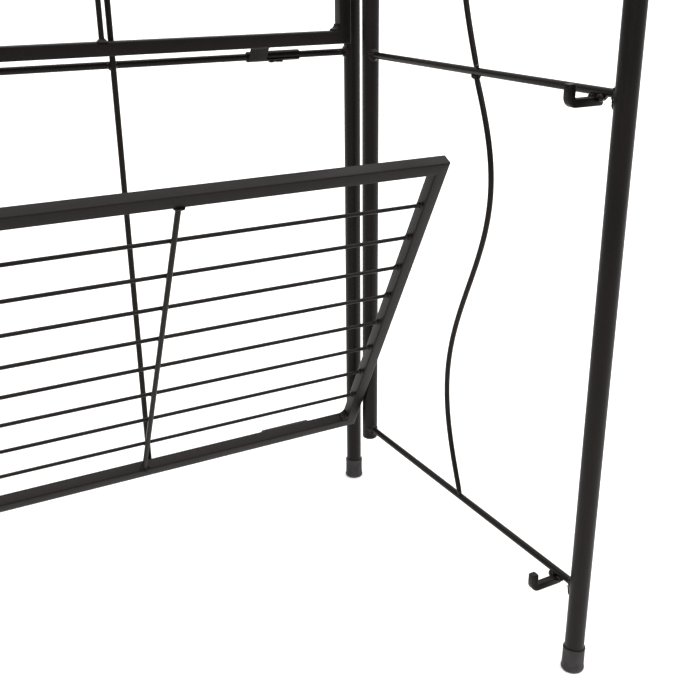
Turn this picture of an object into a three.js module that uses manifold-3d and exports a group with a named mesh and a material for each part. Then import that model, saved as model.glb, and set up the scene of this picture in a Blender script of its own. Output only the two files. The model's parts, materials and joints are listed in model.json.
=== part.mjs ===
// A fold-flat newspaper rack: a back frame, two side frames that swing on it, and three wire
// shelves that turn up against it. Millimetres, +Z up, the front is -Y and the right is +X.
// The origin is on the floor, in the middle of the rack's four feet.
import * as THREE from 'three';
import { mergeVertices } from 'three/addons/utils/BufferGeometryUtils.js';
import Module from 'manifold-3d';

const wasm = await Module();
wasm.setup();

// ---- driving dimensions ----
const WIDTH = 569;                // back leg axis to back leg axis
const DEPTH = 301.3;              // back leg axis to front leg axis
const FIRST_TIER = 62.6;          // height of the lowest hinge rod
const STACKING_ROOM = 0.75;       // between a raised shelf and the lowered one above it
const TIER_NAMES = ['lower', 'middle', 'upper'];
const CLEARANCE = 0.3;            // between pieces that are welded or slide on each other

const LEG_DIAMETER = 12.7;
const LEG_WALL = 0.9;
const BEND_RADIUS = 45;
const HINGE_ROD_DIAMETER = 5.1;
const UPRIGHT_DIAMETER = 4.2;
const UPRIGHT_OFFSET = 94;        // from the middle of the back frame

const SIDE_STANDOFF = 31.8;       // back leg axis to the side frame's rear leg axis
const SIDE_INSET = 1.7;           // side frame plane inside the back leg axis
const REAR_LEG_END = 56.5;         // the side frame's rear leg stops above the floor
const RAIL_DIAMETER = 4.9;
const WAVE_DIAMETER = 3.8;
const WAVE_SWING = 21;
const WAVE_SKEW = 0.03;           // share of a wave by which its middle sits above half height

const HOOK_BAR = 5;
const HOOK_TIP_RISE = 7.8;        // tip above the hook's floor
const HOOK_BEND = 6;              // outer radius at the elbow
const HOOK_SIDE_ROOM = 0.8;       // shelf's side tube to the hook's tip
const HOOK_FRONT_ROOM = 0.6;      // shelf's front tube to the hook

const TUBE = 9.5;                 // square shelf tube
const TUBE_WALL = 1;
const SHELF_RISE = 12;            // hinge rod to rear tube, along the shelf
const SHELF_SETBACK = 8.6;        // front leg axis back to the shelf's front face
const WIRE_DIAMETER = 2.8;
const WIRE_COUNT = 8;
const BRACE_DIAMETER = 3.8;
const BRACE_OFFSET = 85;          // from the middle of the shelf
const BRACE_SINK = 0.5;           // how far the weld lets a brace into each wire

const CLIP_WALL = 1;
const CLIP_LENGTH = 42;
const CLIP_TAB = 14.5;
const CLIP_INSET = 37;            // shelf's outer face in to the clip
const CLIP_SLIT = 1.2;
const CLIP_LEAN = 33;             // degrees forward from upright

const STRAP_WALL = 1;
const STRAP_HEIGHT = 12;
const STRAP_HEIGHTS = { lower: 450, upper: 900 };
const COLLAR_WALL = 0.9;
const COLLAR_HEIGHT = 3;

const FOOT_WALL = 0.55;
const FOOT_FLARE = 0.4;
const FOOT_HEIGHT = 17.5;
const FOOT_FLOOR = 2.5;

// Angles of each shelf above the horizontal, as the rack stands.
const SHELF_ANGLES = { lower: 61.8, middle: 90, upper: 90 };

// ---- places worked out from the dimensions ----
const LEG = LEG_DIAMETER / 2;
const BACK = DEPTH / 2;
const BACK_LEG = WIDTH / 2;
const SIDE_PLANE = BACK_LEG - SIDE_INSET;
const REAR_LEG = BACK - SIDE_STANDOFF;
const FRONT_LEG = BACK - DEPTH;

// The shelf's outer faces pass just inside the straps, its back passes just in front of the
// uprights and the back frame's bends, and its front stops short of the front legs.
const SHELF_EDGE = SIDE_PLANE - LEG - STRAP_WALL - 2 * CLEARANCE;
const UPRIGHT_FRONT = HINGE_ROD_DIAMETER / 2 + CLEARANCE + UPRIGHT_DIAMETER;
const SHELF_OFFSET = Math.max(UPRIGHT_FRONT, LEG) + CLEARANCE + TUBE / 2;
const SHELF_REACH = DEPTH - SHELF_SETBACK;
const SHELF_SPAN = SHELF_REACH - SHELF_RISE - TUBE / 2;
const TIER_PITCH = SHELF_REACH + SHELF_OFFSET + TUBE / 2 + STACKING_ROOM;
const TOP = FIRST_TIER + TIER_NAMES.length * TIER_PITCH;
const HOOK_Y = BACK - SHELF_REACH + TUBE + HOOK_FRONT_ROOM + HOOK_BAR / 2;
const LEG_START = FOOT_FLOOR + CLEARANCE;
const tierHeight = (tier) => FIRST_TIER + tier * TIER_PITCH;

const SIDES = [['left', -1], ['right', 1]];
const LEG_SIDES = 16;
const ROD_SIDES = 12;
const WIRE_SIDES = 8;
const BEND_STEPS = 6;
const WAVE_STEPS = 16;

const STEEL = { color: 0x2a2625, roughness: 0.45, metalness: 0.35 };
const RUBBER = { color: 0x1f1d1d, roughness: 0.8, metalness: 0 };

const rack = new THREE.Group();

/** Adds a named mesh with its own material to the rack or to a group of it. */
function piece(name, geometry, parent = rack, finish = STEEL) {
  const mesh = new THREE.Mesh(geometry, new THREE.MeshStandardMaterial(finish));
  mesh.name = name;
  parent.add(mesh);
  return mesh;
}

/** A path given by its stations, each a point and the direction of travel there, in one plane. */
class StationPath extends THREE.Curve {
  constructor(stations, planeNormal) {
    super();
    this.stations = stations;
    this.planeNormal = planeNormal;
  }

  getSpacedPoints() {
    return this.stations.map((station) => station.point);
  }

  computeFrenetFrames() {
    const tangents = this.stations.map((station) => station.direction);
    const normals = tangents.map(() => this.planeNormal);
    const binormals = tangents.map((t) => new THREE.Vector3().crossVectors(t, this.planeNormal));
    return { tangents, normals, binormals };
  }
}

/** A round section with an optional bore, for extruding. */
function roundSection(radius, bore, sides) {
  const circle = (r) => Array.from({ length: sides }, (_, i) => {
    const angle = (i + 0.5) * 2 * Math.PI / sides;
    return new THREE.Vector2(r * Math.cos(angle), r * Math.sin(angle));
  });
  const shape = new THREE.Shape(circle(radius));
  if (bore > 0) shape.holes.push(new THREE.Path(circle(bore).reverse()));
  return shape;
}

/** Sweeps a section along stations. */
function sweep(section, stations, planeNormal) {
  const extrudePath = new StationPath(stations, planeNormal);
  return new THREE.ExtrudeGeometry(section, { steps: stations.length - 1, extrudePath });
}

/** A straight round bar between two points. */
function bar(diameter, from, to, sides = ROD_SIDES) {
  const start = new THREE.Vector3(...from);
  const run = new THREE.Vector3(...to).sub(start);
  const geometry = new THREE.CylinderGeometry(diameter / 2, diameter / 2, run.length(), sides);
  geometry.applyQuaternion(new THREE.Quaternion().setFromUnitVectors(
    new THREE.Vector3(0, 1, 0), run.clone().normalize()));
  return geometry.translate(...start.addScaledVector(run, 0.5));
}

/** Stations of a leg, a bend, a top bar, a bend and a leg, in the upright plane of `across`. */
function hoopStations(across, first, firstFoot, last, lastFoot) {
  const up = new THREE.Vector3(0, 0, 1);
  const at = (s, z) => across.clone().multiplyScalar(s).addScaledVector(up, z);
  const way = Math.sign(last - first);
  const stations = [{ point: at(first, firstFoot), direction: up.clone() }];
  const bends = [[first + way * BEND_RADIUS, Math.PI], [last - way * BEND_RADIUS, Math.PI / 2]];
  for (const [centre, startAngle] of bends) {
    for (let i = 0; i <= BEND_STEPS; i += 1) {
      const angle = startAngle - i * Math.PI / 2 / BEND_STEPS;
      const point = at(centre + way * BEND_RADIUS * Math.cos(angle),
        TOP - BEND_RADIUS + BEND_RADIUS * Math.sin(angle));
      const direction = at(way * Math.sin(angle), -Math.cos(angle));
      stations.push({ point, direction });
    }
  }
  stations.push({ point: at(last, lastFoot), direction: up.clone().negate() });
  return stations;
}

/** Turns a closed three.js geometry into a solid. */
function solid(geometry) {
  const bare = geometry.clone();
  bare.deleteAttribute('normal');
  bare.deleteAttribute('uv');
  const merged = mergeVertices(bare, 1e-4);
  return new wasm.Manifold(new wasm.Mesh({
    numProp: 3,
    vertProperties: Float32Array.from(merged.attributes.position.array),
    triVerts: Uint32Array.from(merged.index.array),
  }));
}

/** Turns a solid back into a geometry. */
function geometryOf(body) {
  const mesh = body.getMesh();
  const geometry = new THREE.BufferGeometry();
  geometry.setAttribute('position', new THREE.BufferAttribute(mesh.vertProperties, 3));
  geometry.setIndex(new THREE.BufferAttribute(mesh.triVerts, 1));
  const flat = geometry.toNonIndexed();
  flat.computeVertexNormals();
  return flat;
}

/** Extrudes an outline drawn in (Y, Z) along X, from x = 0. */
function alongX(shape, length) {
  const geometry = new THREE.ExtrudeGeometry(shape, { depth: length, bevelEnabled: false });
  geometry.applyMatrix4(new THREE.Matrix4().makeBasis(
    new THREE.Vector3(0, 1, 0), new THREE.Vector3(0, 0, 1), new THREE.Vector3(1, 0, 0)));
  return geometry;
}

/** A rubber cup that is pushed over a leg's end, with a small flare at the floor. */
function footGeometry() {
  const bore = LEG + CLEARANCE;
  const outside = bore + FOOT_WALL;
  const profile = [
    [0, 0], [outside + FOOT_FLARE - 0.8, 0], [outside + FOOT_FLARE, 0.8],
    [outside + FOOT_FLARE, 2], [outside, 5], [outside, FOOT_HEIGHT - 0.5],
    [outside - 0.2, FOOT_HEIGHT], [bore, FOOT_HEIGHT], [bore, FOOT_FLOOR], [0, FOOT_FLOOR],
  ];
  const points = profile.map(([r, z]) => new THREE.Vector2(r, z));
  return new THREE.LatheGeometry(points, LEG_SIDES).rotateX(Math.PI / 2);
}

/** A strap bent round the rear leg, with its two ends laid together on the back leg. */
function strapGeometry() {
  const bore = LEG + CLEARANCE;
  const outside = bore + STRAP_WALL;
  const tailEnd = SIDE_STANDOFF - LEG - CLEARANCE;
  const half = STRAP_WALL;
  const meet = Math.asin(half / outside);
  const outline = new THREE.Shape();
  outline.moveTo(half, tailEnd);
  outline.lineTo(-half, tailEnd);
  outline.absarc(0, 0, outside, Math.PI / 2 + meet, 5 * Math.PI / 2 - meet, false);
  outline.closePath();
  outline.holes.push(new THREE.Path().absarc(0, 0, bore, 0, 2 * Math.PI, true));
  return new THREE.ExtrudeGeometry(outline, {
    depth: STRAP_HEIGHT, bevelEnabled: false, curveSegments: 20,
  });
}

function addBackFrame() {
  const across = new THREE.Vector3(1, 0, 0);
  const hoop = sweep(roundSection(LEG, LEG - LEG_WALL, LEG_SIDES),
    hoopStations(across, -BACK_LEG, LEG_START, BACK_LEG, LEG_START), new THREE.Vector3(0, -1, 0));
  piece('back_frame_tube', hoop.translate(0, BACK, 0));

  const rodEnd = BACK_LEG - LEG - CLEARANCE;
  TIER_NAMES.forEach((tier, i) => {
    const z = tierHeight(i);
    piece(`hinge_rod_${tier}`, bar(HINGE_ROD_DIAMETER, [-rodEnd, BACK, z], [rodEnd, BACK, z]));
  });

  const uprightY = BACK - (HINGE_ROD_DIAMETER + UPRIGHT_DIAMETER) / 2 - CLEARANCE;
  const nearestToBar = BACK - uprightY - UPRIGHT_DIAMETER / 2;
  const barUnderside = TOP - Math.sqrt(LEG ** 2 - nearestToBar ** 2);
  for (const [side, sign] of SIDES) {
    const x = sign * UPRIGHT_OFFSET;
    piece(`back_upright_${side}`, bar(UPRIGHT_DIAMETER,
      [x, uprightY, FIRST_TIER - UPRIGHT_DIAMETER], [x, uprightY, barUnderside - CLEARANCE]));
    piece(`back_foot_${side}`, footGeometry().translate(sign * BACK_LEG, BACK, 0), rack, RUBBER);
    for (const [level, z] of Object.entries(STRAP_HEIGHTS)) {
      piece(`leg_strap_${level}_${side}`,
        strapGeometry().translate(sign * SIDE_PLANE, REAR_LEG, z));
    }
  }
}

/** A wavy rod that swings back, then forward, between two rails. */
function waveGeometry(bottom, top) {
  const middle = (REAR_LEG + FRONT_LEG) / 2;
  const length = top - bottom;
  const stations = Array.from({ length: WAVE_STEPS + 1 }, (_, i) => {
    const t = i / WAVE_STEPS;
    const turn = 2 * Math.PI * (t - WAVE_SKEW * Math.sin(Math.PI * t));
    const turnRate = 2 * Math.PI * (1 - WAVE_SKEW * Math.PI * Math.cos(Math.PI * t));
    const slope = WAVE_SWING * Math.cos(turn) * turnRate / length;
    return {
      point: new THREE.Vector3(0, middle + WAVE_SWING * Math.sin(turn), bottom + length * t),
      direction: new THREE.Vector3(0, slope, 1).normalize(),
    };
  });
  stations[0].direction.set(0, 0, 1);
  stations[WAVE_STEPS].direction.set(0, 0, 1);
  return sweep(roundSection(WAVE_DIAMETER / 2, 0, WIRE_SIDES), stations, new THREE.Vector3(1, 0, 0));
}

/** A square bar under the rail, bent up at its inner end. `sign` is the side of the rack. */
function hookGeometry(sign) {
  const tip = SIDE_PLANE - (SHELF_EDGE - TUBE - HOOK_SIDE_ROOM - HOOK_BAR);
  const root = -RAIL_DIAMETER / 2;
  const inner = HOOK_BEND - HOOK_BAR;
  const outline = new THREE.Shape();
  outline.moveTo(root, 0);
  outline.lineTo(root, -HOOK_BAR);
  outline.lineTo(tip - HOOK_BEND, -HOOK_BAR);
  outline.absarc(tip - HOOK_BEND, HOOK_BEND - HOOK_BAR, HOOK_BEND, -Math.PI / 2, 0, false);
  outline.lineTo(tip, HOOK_TIP_RISE);
  outline.lineTo(tip - HOOK_BAR, HOOK_TIP_RISE);
  outline.lineTo(tip - HOOK_BAR, inner);
  outline.absarc(tip - HOOK_BEND, inner, inner, 0, -Math.PI / 2, true);
  outline.closePath();
  const geometry = new THREE.ExtrudeGeometry(outline, {
    depth: HOOK_BAR, bevelEnabled: false, curveSegments: 5,
  });
  geometry.translate(0, 0, -HOOK_BAR / 2).rotateX(Math.PI / 2);
  return sign > 0 ? geometry.rotateZ(Math.PI) : geometry;
}

/** A low dome that closes the end of the side frame's rear leg. */
function plugGeometry() {
  const profile = [[0, -2.6], [3, -2.3], [5.2, -1.3], [LEG, 0], [LEG, 1.2], [0, 1.2]];
  const points = profile.map(([r, z]) => new THREE.Vector2(r, z));
  return new THREE.LatheGeometry(points, LEG_SIDES).rotateX(Math.PI / 2);
}

/** A ring that rests on a strap and carries the side frame. */
function collarGeometry() {
  const bore = LEG + CLEARANCE;
  const outside = bore + COLLAR_WALL;
  const profile = [[bore, 0], [outside, 0], [outside, COLLAR_HEIGHT], [bore, COLLAR_HEIGHT], [bore, 0]];
  const points = profile.map(([r, z]) => new THREE.Vector2(r, z));
  return new THREE.LatheGeometry(points, LEG_SIDES).rotateX(Math.PI / 2);
}

function addSideFrame(side, sign) {
  const frame = new THREE.Group();
  frame.position.x = sign * SIDE_PLANE;
  rack.add(frame);

  const across = new THREE.Vector3(0, 1, 0);
  const hoop = sweep(roundSection(LEG, LEG - LEG_WALL, LEG_SIDES),
    hoopStations(across, FRONT_LEG, LEG_START, REAR_LEG, REAR_LEG_END), new THREE.Vector3(1, 0, 0));
  piece(`side_frame_tube_${side}`, hoop, frame);
  piece(`rear_leg_plug_${side}`,
    plugGeometry().translate(0, REAR_LEG, REAR_LEG_END - CLEARANCE - 1.2), frame);
  piece(`rear_leg_collar_${side}`,
    collarGeometry().translate(0, REAR_LEG, STRAP_HEIGHTS.lower + STRAP_HEIGHT + CLEARANCE), frame);
  piece(`front_foot_${side}`, footGeometry().translate(0, FRONT_LEG, 0), frame, RUBBER);

  const railFront = FRONT_LEG + LEG + CLEARANCE;
  const railRear = REAR_LEG - LEG - CLEARANCE;
  const gap = RAIL_DIAMETER / 2 + CLEARANCE;
  TIER_NAMES.forEach((tier, i) => {
    const z = tierHeight(i);
    const waveTop = i + 1 < TIER_NAMES.length ? tierHeight(i + 1) - gap : TOP - LEG - CLEARANCE;
    piece(`side_rail_${tier}_${side}`, bar(RAIL_DIAMETER, [0, railFront, z], [0, railRear, z]), frame);
    piece(`wave_rod_${tier}_${side}`, waveGeometry(z + gap, waveTop), frame);
    piece(`hook_${tier}_${side}`,
      hookGeometry(sign).translate(0, HOOK_Y, z - RAIL_DIAMETER / 2 - CLEARANCE), frame);
  });
}

/** A square tube along X or along the shelf, mitred at both ends, with its middle at the origin. */
function mitredTube(outerLength, rotation) {
  const square = (half) => [[-half, -half], [half, -half], [half, half], [-half, half]]
    .map(([u, v]) => new THREE.Vector2(u, v));
  const shape = new THREE.Shape(square(TUBE / 2));
  shape.holes.push(new THREE.Path(square(TUBE / 2 - TUBE_WALL).reverse()));
  const geometry = new THREE.ExtrudeGeometry(shape, { depth: 2, bevelEnabled: false });
  const position = geometry.attributes.position;
  const reach = outerLength / 2 - CLEARANCE / 2;
  for (let i = 0; i < position.count; i += 1) {
    const end = position.getZ(i) > 1 ? 1 : -1;
    position.setZ(i, end * (reach + position.getX(i) - TUBE / 2));
  }
  return geometry.applyMatrix4(rotation);
}

/** Wires across a shelf with two braces welded under them, as one piece. */
function grilleGeometry() {
  const halfWidth = SHELF_EDGE - TUBE - CLEARANCE;
  const braceOut = -(WIRE_DIAMETER + BRACE_DIAMETER) / 2 + BRACE_SINK;
  const gap = TUBE / 2 + CLEARANCE;
  let grille = null;
  for (let i = 1; i <= WIRE_COUNT; i += 1) {
    const u = TUBE / 2 + (SHELF_SPAN - TUBE) * i / (WIRE_COUNT + 1);
    const wire = solid(bar(WIRE_DIAMETER, [-halfWidth, 0, u], [halfWidth, 0, u], WIRE_SIDES));
    grille = grille ? grille.add(wire) : wire;
  }
  for (const [, sign] of SIDES) {
    const x = sign * BRACE_OFFSET;
    grille = grille.add(solid(bar(BRACE_DIAMETER,
      [x, braceOut, gap], [x, braceOut, SHELF_SPAN - gap], WIRE_SIDES)));
  }
  return geometryOf(grille);
}

/** A strap rolled round the hinge rod, with a tab that reaches the rear tube. */
function clipGeometry(sign) {
  const bore = HINGE_ROD_DIAMETER / 2 + CLEARANCE;
  const outside = bore + CLIP_WALL;
  const ring = new THREE.Shape().absarc(0, 0, outside, 0, 2 * Math.PI, false);
  ring.holes.push(new THREE.Path().absarc(0, 0, bore, 0, 2 * Math.PI, true));
  const barrel = solid(alongX(ring, CLIP_LENGTH));

  // The tab leaves the roll at its lean and stops under the rear tube.
  const tabTop = SHELF_RISE - TUBE / 2 - CLEARANCE;
  const lean = THREE.MathUtils.degToRad(CLIP_LEAN);
  const foot = (offset) => -offset * Math.sin(lean);
  const along = (offset, z) => new THREE.Vector2(-offset / Math.cos(lean) - z * Math.tan(lean), z);
  const tab = new THREE.Shape([
    along(outside, foot(outside)), along(bore, foot(bore)), along(bore, tabTop),
    along(outside, tabTop)]);
  const slit = new THREE.Shape([
    new THREE.Vector2(0, 0), new THREE.Vector2(2 * outside, 0),
    new THREE.Vector2(2 * outside, CLIP_SLIT), new THREE.Vector2(0, CLIP_SLIT)]);
  const tabStart = sign > 0 ? 0 : CLIP_LENGTH - CLIP_TAB;
  const clip = barrel
    .subtract(solid(alongX(slit, CLIP_LENGTH + 2).translate(-1, 0, 0)))
    .add(solid(alongX(tab, CLIP_TAB).translate(tabStart, 0, 0)));
  return geometryOf(clip);
}

/** A shelf, drawn standing upright on its hinge rod, then turned to its angle. */
function addShelf(tier, height, angle) {
  const turned = new THREE.Group();
  turned.position.set(0, BACK, height);
  turned.rotation.x = THREE.MathUtils.degToRad(90 - angle);
  rack.add(turned);
  const shelf = new THREE.Group();
  shelf.position.set(0, -SHELF_OFFSET, SHELF_RISE);
  turned.add(shelf);

  // Each frame tube is drawn along Z with its long face towards +X, the outside of the shelf.
  const facing = (outward, length) => new THREE.Matrix4().makeBasis(
    outward, new THREE.Vector3().crossVectors(length, outward), length);
  const x = new THREE.Vector3(1, 0, 0);
  const z = new THREE.Vector3(0, 0, 1);
  const width = 2 * SHELF_EDGE;
  const depth = SHELF_SPAN + TUBE;
  piece(`${tier}_shelf_rear_tube`, mitredTube(width, facing(z.clone().negate(), x)), shelf);
  piece(`${tier}_shelf_front_tube`,
    mitredTube(width, facing(z, x)).translate(0, 0, SHELF_SPAN), shelf);
  for (const [side, sign] of SIDES) {
    piece(`${tier}_shelf_${side}_tube`,
      mitredTube(depth, facing(x.clone().multiplyScalar(sign), z))
        .translate(sign * (SHELF_EDGE - TUBE / 2), 0, SHELF_SPAN / 2), shelf);
    const clipEdge = sign * (SHELF_EDGE - CLIP_INSET);
    piece(`${tier}_shelf_clip_${side}`,
      clipGeometry(sign).translate(sign > 0 ? clipEdge - CLIP_LENGTH : clipEdge, 0, 0), turned);
  }
  piece(`${tier}_shelf_grille`, grilleGeometry(), shelf);
}

addBackFrame();
for (const [side, sign] of SIDES) addSideFrame(side, sign);
TIER_NAMES.forEach((tier, i) => addShelf(tier, tierHeight(i), SHELF_ANGLES[tier]));

export default rack;
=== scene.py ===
"""The looks of a fold-flat newspaper rack in black powder-coated steel.

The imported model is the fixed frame. Every piece is drawn here again with the detail of the real one:
bends, chamfered ends, mitres, weld beads, rolled clips and rubber cups. It stands in the place that
the frame gives it and rides on its body. Lengths are in metres.
"""

from __future__ import annotations

import json
import logging
import math
from dataclasses import dataclass, field
from enum import Enum

import bmesh
import bpy
import numpy as np
from mathutils import Matrix, Vector, noise

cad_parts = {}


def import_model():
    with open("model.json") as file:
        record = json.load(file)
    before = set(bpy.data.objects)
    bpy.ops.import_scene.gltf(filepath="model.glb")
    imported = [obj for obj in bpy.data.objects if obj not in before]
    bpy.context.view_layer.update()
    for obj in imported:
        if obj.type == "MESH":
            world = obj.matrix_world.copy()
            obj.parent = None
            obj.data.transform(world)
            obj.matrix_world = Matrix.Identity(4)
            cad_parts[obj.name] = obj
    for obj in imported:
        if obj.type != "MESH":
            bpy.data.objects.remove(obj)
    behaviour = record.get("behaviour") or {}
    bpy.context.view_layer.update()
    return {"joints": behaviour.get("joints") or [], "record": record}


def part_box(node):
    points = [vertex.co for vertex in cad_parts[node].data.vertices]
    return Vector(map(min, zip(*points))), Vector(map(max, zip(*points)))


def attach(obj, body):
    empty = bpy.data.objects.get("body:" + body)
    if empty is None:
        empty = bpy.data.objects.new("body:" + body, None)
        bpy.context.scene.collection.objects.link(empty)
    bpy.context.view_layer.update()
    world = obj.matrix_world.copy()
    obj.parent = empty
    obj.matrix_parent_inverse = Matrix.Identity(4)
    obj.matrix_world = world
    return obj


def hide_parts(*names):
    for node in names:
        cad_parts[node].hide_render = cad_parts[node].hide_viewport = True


LOG = logging.getLogger("newspaper_rack")
MM = 0.001
VIEW_YAW = 28.75  # degrees by which the view is turned to the right of straight on
SHARP_EDGE = 38.0  # degrees between two faces from which their edge looks sharp
ROD_CHAMFER = 0.35 * MM
NOISE_MIDDLE = (0.35, 0.65)  # the stretch of a noise's range in which most of it lies
X_AXIS = np.array([1.0, 0.0, 0.0])
Y_AXIS = np.array([0.0, 1.0, 0.0])
Z_AXIS = np.array([0.0, 0.0, 1.0])
Triple = tuple[float, float, float]  # a size or a place


class Side(Enum):
    """The two sides of the rack, with the sign of their X."""

    LEFT = -1
    RIGHT = 1

    @property
    def word(self) -> str:
        """The side's name in the names of pieces."""
        return self.name.lower()


class Tier(Enum):
    """The three tiers, from the floor up."""

    LOWER = "lower"
    MIDDLE = "middle"
    UPPER = "upper"


# ---------------------------------------------------------------- finishes


def linear(hex_code: str) -> tuple[float, float, float, float]:
    """Turns an sRGB hex code into a linear colour.

    Args:
        hex_code: Six hex digits after a hash.

    Returns:
        Linear red, green, blue and an alpha of 1.
    """
    channels = [int(hex_code[i : i + 2], 16) / 255 for i in (1, 3, 5)]
    red, green, blue = (c / 12.92 if c <= 0.04045 else ((c + 0.055) / 1.055) ** 2.4 for c in channels)
    return red, green, blue, 1.0


def per_metre(grain: float) -> float:
    """Turns the size of one grain of a pattern into a texture scale."""
    return 1.0 / grain


def add_node(tree: bpy.types.NodeTree, kind: str, inputs: dict, **settings: object) -> bpy.types.Node:
    """Adds a node to a material with its settings and links.

    Args:
        tree: The material's node tree.
        kind: The node's type name.
        inputs: Socket name or number to a value, or to the output socket that feeds it.
        **settings: The node's own properties.

    Returns:
        The new node.
    """
    node = tree.nodes.new(kind)
    for name, value in settings.items():
        setattr(node, name, value)
    for key, value in inputs.items():
        if isinstance(value, bpy.types.NodeSocket):
            tree.links.new(value, node.inputs[key])
        else:
            node.inputs[key].default_value = value
    return node


def empty_material(name: str) -> tuple[bpy.types.Material, bpy.types.NodeTree]:
    """Makes a material with an empty node tree.

    Args:
        name: The material's name.

    Returns:
        The material and its node tree.
    """
    material = bpy.data.materials.new(name)
    material.use_nodes = True
    material.node_tree.nodes.clear()
    return material, material.node_tree


def two_tone(
    tree: bpy.types.NodeTree, factor: bpy.types.NodeSocket, dark: str, light: str
) -> bpy.types.Node:
    """Adds a ramp from one sRGB colour to another over the middle of a noise's range.

    Args:
        tree: The material's node tree.
        factor: The noise's output.
        dark: The colour where the noise is low.
        light: The colour where the noise is high.

    Returns:
        The ramp.
    """
    ramp = add_node(tree, "ShaderNodeValToRGB", {"Fac": factor})
    first, last = ramp.color_ramp.elements
    first.position, last.position = NOISE_MIDDLE
    first.color, last.color = linear(dark), linear(light)
    return ramp


@dataclass(frozen=True)
class PowderCoat:
    """Satin polyester powder coat, sprayed on steel and baked.

    The baked coat keeps a faint orange peel, which breaks up highlights along the tubes, and its
    pigment varies a little from place to place, so the black isn't one flat colour.
    """

    name: str
    slot: str
    dark: str
    light: str
    roughness_low: float
    roughness_high: float
    peel: float
    peel_height: float
    specular: float = 0.16
    sheen: str = "#fff6f0"
    patch: float = 55 * MM
    speckle: float = 1.6 * MM

    def material(self) -> bpy.types.Material:
        """Builds the material.

        Returns:
            The material.
        """
        material, tree = empty_material(self.name)
        place = add_node(tree, "ShaderNodeTexCoord", {}).outputs["Object"]
        # Patches are a broad drift in the coat's thickness, to a slightly browner black. Pigment grains
        # are finer than the speckles in the real coat and are drawn as coarse as shows.
        grains = []
        for grain, detail in ((self.patch, 3.0), (self.speckle, 2.0), (self.peel, 1.5)):
            inputs = {"Vector": place, "Scale": per_metre(grain), "Detail": detail}
            grains.append(add_node(tree, "ShaderNodeTexNoise", inputs))
        patches, speckles, peel = grains
        drift = add_node(
            tree,
            "ShaderNodeMix",
            {"Factor": 0.35, "A": patches.outputs["Fac"], "B": speckles.outputs["Fac"]},
            data_type="FLOAT",
        )
        colour = two_tone(tree, drift.outputs["Result"], self.dark, self.light)
        # Handling polishes some stretches and leaves others duller, seen as uneven gloss.
        gloss = add_node(
            tree,
            "ShaderNodeMapRange",
            {
                "Value": patches.outputs["Fac"],
                "From Min": 0.3,
                "From Max": 0.7,
                "To Min": self.roughness_low,
                "To Max": self.roughness_high,
            },
        )
        relief = add_node(
            tree,
            "ShaderNodeBump",
            {"Height": peel.outputs["Fac"], "Strength": 1.0, "Distance": self.peel_height},
        )
        shader = add_node(
            tree,
            "ShaderNodeBsdfPrincipled",
            {
                "Base Color": colour.outputs["Color"],
                "Roughness": gloss.outputs["Result"],
                "Normal": relief.outputs["Normal"],
                "IOR": 1.5,
                "Specular IOR Level": self.specular,
                "Specular Tint": linear(self.sheen),
            },
        )
        add_node(tree, "ShaderNodeOutputMaterial", {"Surface": shader.outputs["BSDF"]})
        return material


@dataclass(frozen=True)
class MouldedRubber:
    """Soft black rubber, moulded in one piece.

    A matte skin with a fine stipple from the mould, greyed by scuffs near the floor.
    """

    name: str = "moulded_rubber"
    slot: str = "foot_rubber"
    dark: str = "#1d1b1b"
    light: str = "#2a2828"
    scuff: str = "#4a4745"
    blotch: float = 6 * MM
    stipple: float = 0.7 * MM
    stipple_height: float = 0.05 * MM
    scuff_height: float = 3.5 * MM

    def material(self) -> bpy.types.Material:
        """Builds the material.

        Returns:
            The material.
        """
        material, tree = empty_material(self.name)
        place = add_node(tree, "ShaderNodeTexCoord", {}).outputs["Object"]
        blotches = add_node(
            tree, "ShaderNodeTexNoise", {"Vector": place, "Scale": per_metre(self.blotch), "Detail": 3.0}
        )
        body = two_tone(tree, blotches.outputs["Fac"], self.dark, self.light)
        # Floor dust and rubbing grey the lowest few millimetres, in streaks.
        height = add_node(tree, "ShaderNodeSeparateXYZ", {"Vector": place}).outputs["Z"]
        low = add_node(
            tree,
            "ShaderNodeMapRange",
            {"Value": height, "From Min": 0.0, "From Max": self.scuff_height, "To Min": 1.0, "To Max": 0.0},
        )
        worn = add_node(
            tree,
            "ShaderNodeMath",
            {0: low.outputs["Result"], 1: blotches.outputs["Fac"]},
            operation="MULTIPLY",
        )
        colour = add_node(
            tree,
            "ShaderNodeMix",
            {"Factor": worn.outputs["Value"], "A": body.outputs["Color"], "B": linear(self.scuff)},
            data_type="RGBA",
        )
        stipple = add_node(
            tree, "ShaderNodeTexNoise", {"Vector": place, "Scale": per_metre(self.stipple), "Detail": 2.0}
        )
        relief = add_node(
            tree,
            "ShaderNodeBump",
            {"Height": stipple.outputs["Fac"], "Strength": 1.0, "Distance": self.stipple_height},
        )
        shader = add_node(
            tree,
            "ShaderNodeBsdfPrincipled",
            {
                "Base Color": colour.outputs["Result"],
                "Roughness": 0.72,
                "Normal": relief.outputs["Normal"],
                "IOR": 1.52,
                "Specular IOR Level": 0.35,
            },
        )
        add_node(tree, "ShaderNodeOutputMaterial", {"Surface": shader.outputs["BSDF"]})
        return material


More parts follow.
